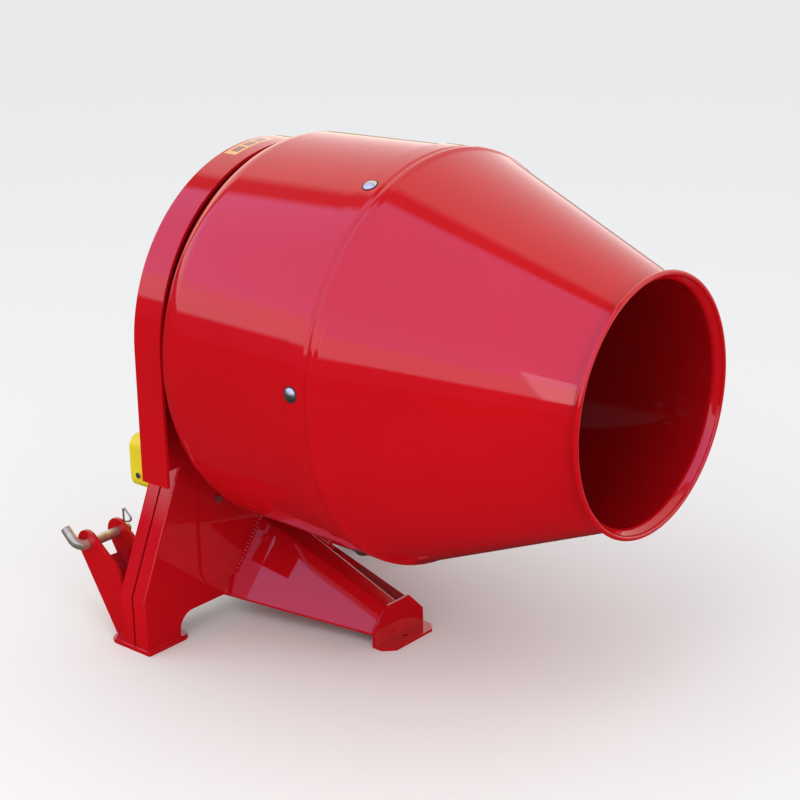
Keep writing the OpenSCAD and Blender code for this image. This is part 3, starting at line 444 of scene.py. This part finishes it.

# ---------------------------------------------------------------- painted shadow rings round the dome bolts

def islands(bm):
    """The separate pieces of a mesh, as lists of points."""
    left = set(bm.verts)
    out = []
    while left:
        group, edge = [], [left.pop()]
        while edge:
            v = edge.pop()
            group.append(v.co.copy())
            for e in v.link_edges:
                w = e.other_vert(v)
                if w in left:
                    left.remove(w)
                    edge.append(w)
        out.append(group)
    return out


def seam_bolt_shadow_rings():
    """A thin dark ring round each dome head, standing just off the drum: painted shadow under the head."""
    bm = bmesh.new()
    source = merged("seam_bolts")
    for group in islands(source):
        middle = sum(group, Vector()) / len(group)
        out = Vector((0, middle.y - SEAM.y, middle.z - SEAM.z)).normalized()
        place = out.to_track_quat("Z", "Y").to_matrix().to_4x4()
        place.translation = Vector((middle.x, SEAM.y, SEAM.z)) + out * (DRUM_R + 0.2 * MM)
        verts = bmesh.ops.create_circle(bm, cap_ends=False, segments=48, radius=13.4 * MM,
                                        matrix=place)["verts"]
        ring = list({e for v in verts for e in v.link_edges})
        for r, lift in ((13.4, 0.9), (15.4, 0.9), (15.9, 0.4), (15.9, -0.6)):
            more = bmesh.ops.extrude_edge_only(bm, edges=ring)["geom"]
            ring = [e for e in more if isinstance(e, bmesh.types.BMEdge)]
            for v in {v for e in ring for v in e.verts}:
                flat = v.co - place.translation
                flat -= out * flat.dot(out)
                v.co = place.translation + flat.normalized() * (r * MM) + out * (lift * MM)
    source.free()
    return finish_mesh(bm, "seam_bolt_shadow_rings")


# painted shadow: a dark ring round each dome bolt head on the drum
piece(seam_bolt_shadow_rings(), "drum", BOLT_SHADOW_PAINT)

# ---------------------------------------------------------------- welds

FRONT_SHEET = [Vector(v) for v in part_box("frame_front_plate")]
REAR_SHEET = [Vector(v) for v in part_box("frame_rear_plate")]
DOUBLER = [Vector(v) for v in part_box("frame_doubler")]
FOOT = [Vector(v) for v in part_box("rear_foot_left")]
WELD_STEP = 1.1                          # between the rings of a weld, in millimetres
LEG_WELD, TIP_WELD, SHEET_WELD, EAR_WELD = 5.6, 2.8, 2.4, 3.0
TOUCH = 0.3 * MM                         # a weld's line is cut this far off the plate it joins


def outlines(name, point, normal):
    """Where a plane cuts a node: closed lines of points, the longest first."""
    bm = merged(name)
    bmesh.ops.bisect_plane(bm, geom=bm.verts[:] + bm.edges[:] + bm.faces[:], dist=1e-6,
                           plane_co=point, plane_no=normal, clear_inner=True, clear_outer=True)
    left = set(bm.edges)
    out = []
    while left:
        e = left.pop()
        line = [e.verts[0], e.verts[1]]
        while True:
            onward = next((x for x in line[-1].link_edges if x in left), None)
            if onward is None:
                break
            left.remove(onward)
            line.append(onward.other_vert(line[-1]))
        out.append([v.co.copy() for v in line])
    bm.free()
    return sorted(out, key=lambda line: -sum((a - b).length for a, b in zip(line, line[1:])))


def stepped(line, step):
    """Evenly spaced points along a line."""
    out = [line[0]]
    spare = 0.0
    for a, b in zip(line, line[1:]):
        length = (b - a).length
        at = step - spare
        while at <= length:
            out.append(a.lerp(b, at / length))
            at += step
        spare = length - (at - step)
    return out


def weld(bm, line, size, keep=lambda p: True, up=Vector((1, 0, 0)), pitch=5.6):
    """Lays a row of weld ripples along the parts of a line that are to be welded. The size and
    the pitch of the ripples are in millimetres."""
    points = stepped(line, WELD_STEP * MM)
    runs, run = [], []
    for p in points + [None]:
        if p is not None and keep(p):
            run.append(p)
        elif run:
            runs.append(run)
            run = []
    if len(runs) > 1 and keep(points[0]) and (points[0] - points[-1]).length < 3 * MM:
        runs[0] = runs.pop() + runs[0]
    for run in runs:
        if len(run) < 12:
            continue

        def radius(i):
            drift = 0.12 * noise.noise(run[i] * 90)
            ripple = 0.42 * abs(math.sin(math.pi * i * WELD_STEP / pitch)) ** 0.7
            close = min(1.0, 0.35 + 0.16 * min(i, len(run) - 1 - i))
            return size * MM * close * (0.66 + drift + ripple)

        ring_tube(bm, run, radius, sides=8, up=up)


def above_bottom(line):
    """Picks the points of an outline that aren't on its bottom edge."""
    bottom = min(p.z for p in line) + 2 * MM
    return lambda p: p.z > bottom


def leg_welds(bm):
    """Round the leg's tip, and its root, part on the thick plate and part on the sheet below."""
    low = DOUBLER[0].z
    for x, side in ((DOUBLER[1].x, 1), (FRONT_SHEET[1].x, -1)):
        line = outlines("front_leg", Vector((x + TOUCH, 0, 0)), Vector((1, 0, 0)))[0]
        above = above_bottom(line)
        weld(bm, line, LEG_WELD, lambda p: side * (p.z - low) > 0 and above(p), pitch=8.4)
    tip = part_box("front_foot")[0][0]
    line = outlines("front_leg", Vector((tip - 0.5 * MM, 0, 0)), Vector((1, 0, 0)))[0]
    weld(bm, line, TIP_WELD, above_bottom(line))


def foot_welds(bm):
    """Round the two sheets where they stand on the feet."""
    for name in ("frame_front_plate", "frame_rear_plate"):
        for line in outlines(name, Vector((0, 0, FOOT[1].z + TOUCH)), Vector((0, 0, 1)))[:2]:
            weld(bm, line, SHEET_WELD, up=Vector((0, 0, 1)))


def ear_welds(bm):
    """Round each hitch ear on the rear sheet."""
    for side in ("left", "right"):
        for ear in ("hitch_ear_outer", "hitch_ear_inner", "top_link_ear"):
            behind = Vector((REAR_SHEET[0].x - TOUCH, 0, 0))
            weld(bm, outlines(f"{ear}_{side}", behind, Vector((1, 0, 0)))[0], EAR_WELD)


def welds():
    bm = bmesh.new()
    leg_welds(bm)
    foot_welds(bm)
    ear_welds(bm)
    return finish_mesh(bm, "welds", 60.0)


piece(welds(), "frame", RED)

# ---------------------------------------------------------------- plain band of print on the cover

COVER = [Vector(v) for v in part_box("gear_cover_rim")]
COVER_R = (COVER[1].y - COVER[0].y) / 2
COVER_MIDDLE = COVER[1].z - COVER_R                      # height of the middle of its round top


def print_patch(name, x0, x1, first, last, lift):
    """A thin patch on the cover's round top, between two distances from its rear edge and two
    angles up from the -Y side."""
    bm = bmesh.new()
    bmesh.ops.create_grid(bm, x_segments=6, y_segments=24, size=0.5)
    for v in bm.verts:
        a = math.radians(first + (last - first) * (v.co.y + 0.5))
        r = COVER_R + lift * MM
        x = COVER[0].x + (x0 + (x1 - x0) * (v.co.x + 0.5)) * MM
        v.co = Vector((x, SEAM.y - r * math.cos(a), COVER_MIDDLE + r * math.sin(a)))
    bmesh.ops.solidify(bm, geom=bm.faces[:], thickness=0.12 * MM)
    return finish_mesh(bm, name)


piece(print_patch("print_band", 8, 42, 73.5, 91.5, 0.15), "frame", AMBER)
for i, (first, last) in enumerate(((75.5, 79.5), (80.7, 84.6), (85.8, 89.8))):
    block = print_patch(f"print_block_{i}", 15, 35, first, last, 0.3)
    piece(block, "frame", MAROON)

# ---------------------------------------------------------------- stage, light and camera

def area_light(name, place, aim, size, power, colour=(1, 1, 1), reflects=True):
    """A rectangular panel of light at a place, turned to face its aim."""
    data = bpy.data.lights.new(name, "AREA")
    data.shape = "RECTANGLE"
    data.size, data.size_y = size
    data.energy = power
    data.color = colour
    obj = bpy.data.objects.new(name, data)
    obj.location = place
    obj.rotation_mode = "QUATERNION"
    obj.rotation_quaternion = (Vector(aim) - Vector(place)).to_track_quat("-Z", "Y")
    obj.visible_glossy = reflects
    bpy.context.scene.collection.objects.link(obj)


def ramp_node(tree, stops):
    """A colour ramp with the given stops, each a place from 0 to 1 and a colour."""
    node = tree.nodes.new("ShaderNodeValToRGB")
    node.color_ramp.elements[0].position, node.color_ramp.elements[0].color = stops[0]
    node.color_ramp.elements[1].position, node.color_ramp.elements[1].color = stops[-1]
    for place, colour in stops[1:-1]:
        node.color_ramp.elements.new(place).color = colour
    return node


def studio_world():
    """Even pale light, with a lavender-white ceiling for the paint to mirror above dim walls."""
    world = bpy.data.worlds.new("studio")
    bpy.context.scene.world = world
    world.use_nodes = True
    tree = world.node_tree
    even = tree.nodes["Background"]
    even.inputs["Color"].default_value = (0.98, 0.99, 1.0, 1)
    even.inputs["Strength"].default_value = 0.98
    mirrored = tree.nodes.new("ShaderNodeBackground")
    mirrored.inputs["Strength"].default_value = 3.2
    where = tree.nodes.new("ShaderNodeTexCoord")
    split = tree.nodes.new("ShaderNodeSeparateXYZ")
    height = ramp_node(tree, [(0.0, (0.04, 0.04, 0.04, 1)), (0.13, (0.05, 0.05, 0.05, 1)),
                              (0.16, (1, 0.96, 0.56, 1)), (0.29, (1, 0.96, 0.58, 1)),
                              (0.36, (0.85, 0.82, 0.80, 1)),
                              (0.60, (0.72, 0.72, 0.72, 1)), (1.0, (0.72, 0.72, 0.72, 1))])
    behind = tree.nodes.new("ShaderNodeMapRange")
    behind.inputs["To Max"].default_value = 0.4
    raised = tree.nodes.new("ShaderNodeMath")
    depth = tree.nodes.new("ShaderNodeMapRange")
    depth.inputs["From Min"].default_value = -1.0
    hue = ramp_node(tree, [(0.0, (0.42, 0.48, 0.96, 1)), (0.50, (0.42, 0.47, 0.92, 1)),
                           (0.53, (0.12, 0.09, 0.10, 1)), (0.575, (0.12, 0.09, 0.10, 1)),
                           (0.615, (0.50, 0.47, 0.46, 1)), (1.0, (0.60, 0.58, 0.57, 1))])
    tint = tree.nodes.new("ShaderNodeMix")
    tint.data_type = "RGBA"
    tint.blend_type = "MULTIPLY"
    tint.inputs["Factor"].default_value = 1.0
    path = tree.nodes.new("ShaderNodeLightPath")
    choose = tree.nodes.new("ShaderNodeMixShader")
    link = tree.links.new
    link(where.outputs["Generated"], split.inputs[0])
    link(split.outputs["Y"], behind.inputs["Value"])
    link(split.outputs["Z"], raised.inputs[0])
    link(behind.outputs["Result"], raised.inputs[1])
    link(raised.outputs["Value"], height.inputs["Fac"])
    link(split.outputs["Y"], depth.inputs["Value"])
    link(depth.outputs["Result"], hue.inputs["Fac"])
    link(height.outputs["Color"], tint.inputs[6])
    link(hue.outputs["Color"], tint.inputs[7])
    link(tint.outputs[2], mirrored.inputs["Color"])
    link(path.outputs["Is Glossy Ray"], choose.inputs["Fac"])
    link(even.outputs["Background"], choose.inputs[1])
    link(mirrored.outputs["Background"], choose.inputs[2])
    link(choose.outputs["Shader"], tree.nodes["World Output"].inputs["Surface"])


def pale_floor():
    """A matt pale floor that the paint mirrors as a dark one."""
    bm = bmesh.new()
    bmesh.ops.create_grid(bm, x_segments=1, y_segments=1, size=40)
    floor = finish_mesh(bm, "floor")
    m = bpy.data.materials.new("pale_floor")
    m.use_nodes = True
    tree = m.node_tree
    shader = tree.nodes["Principled BSDF"]
    shader.inputs["Roughness"].default_value = 1.0
    shader.inputs["Specular IOR Level"].default_value = 0.0
    path = tree.nodes.new("ShaderNodeLightPath")
    mix = tree.nodes.new("ShaderNodeMix")
    mix.data_type = "RGBA"
    mix.inputs[6].default_value = (0.84, 0.84, 0.84, 1)
    where = tree.nodes.new("ShaderNodeTexCoord")
    split = tree.nodes.new("ShaderNodeSeparateXYZ")
    behind = tree.nodes.new("ShaderNodeMapRange")
    behind.inputs["From Min"].default_value = 0.5
    behind.inputs["From Max"].default_value = 2.0
    mirrored = tree.nodes.new("ShaderNodeMix")
    mirrored.data_type = "RGBA"
    mirrored.inputs[6].default_value = (0.035, 0.033, 0.033, 1)
    mirrored.inputs[7].default_value = (0.60, 0.56, 0.54, 1)
    tree.links.new(where.outputs["Object"], split.inputs[0])
    tree.links.new(split.outputs["Y"], behind.inputs["Value"])
    tree.links.new(behind.outputs["Result"], mirrored.inputs["Factor"])
    tree.links.new(mirrored.outputs[2], mix.inputs[7])
    tree.links.new(path.outputs["Is Glossy Ray"], mix.inputs["Factor"])
    tree.links.new(mix.outputs[2], shader.inputs["Base Color"])
    dress(floor, m)


def lights():
    """Soft panels that light the machine but don't show in its paint, and one that does."""
    area_light("key_panel", (0.9, -3.0, 4.4), (0.1, 0, 0.6), (3.2, 3.2), 52, (1, 0.985, 0.96),
               reflects=False)
    area_light("side_panel", (-3.6, -2.6, 2.2), (-0.2, 0, 0.5), (2.0, 2.4), 12, (1, 0.99, 0.98),
               reflects=False)
    area_light("mouth_panel", (3.0, -1.6, 1.6), (0.6, 0, 0.66), (1.2, 1.2), 14, reflects=False)
    area_light("window_strip", (1.5, -4.6, 2.0), (0.4, 0, 0.7), (0.34, 1.4), 2.5)


def camera():
    """Long-lens camera above eye height, ahead of the mouth and to the side with the guard."""
    az, el, roll = math.radians(40.19), math.radians(18.82), math.radians(-0.78)
    back = Vector((math.sin(az) * math.cos(el), -math.cos(az) * math.cos(el), math.sin(el)))
    right = Vector((math.cos(az), math.sin(az), 0))
    up = back.cross(right)
    turned_right = right * math.cos(roll) + up * math.sin(roll)
    turned_up = up * math.cos(roll) - right * math.sin(roll)
    data = bpy.data.cameras.new("camera")
    data.lens = 82.1
    cam = bpy.data.objects.new("camera", data)
    cam.rotation_mode = "QUATERNION"
    cam.rotation_quaternion = Matrix((turned_right, turned_up, back)).transposed().to_quaternion()
    cam.location = SEAM + Vector((2.1857, -2.7353, 1.1051))
    bpy.context.scene.collection.objects.link(cam)
    bpy.context.scene.camera = cam


bpy.context.scene.view_settings.view_transform = "Standard"
studio_world()
pale_floor()
lights()
camera()
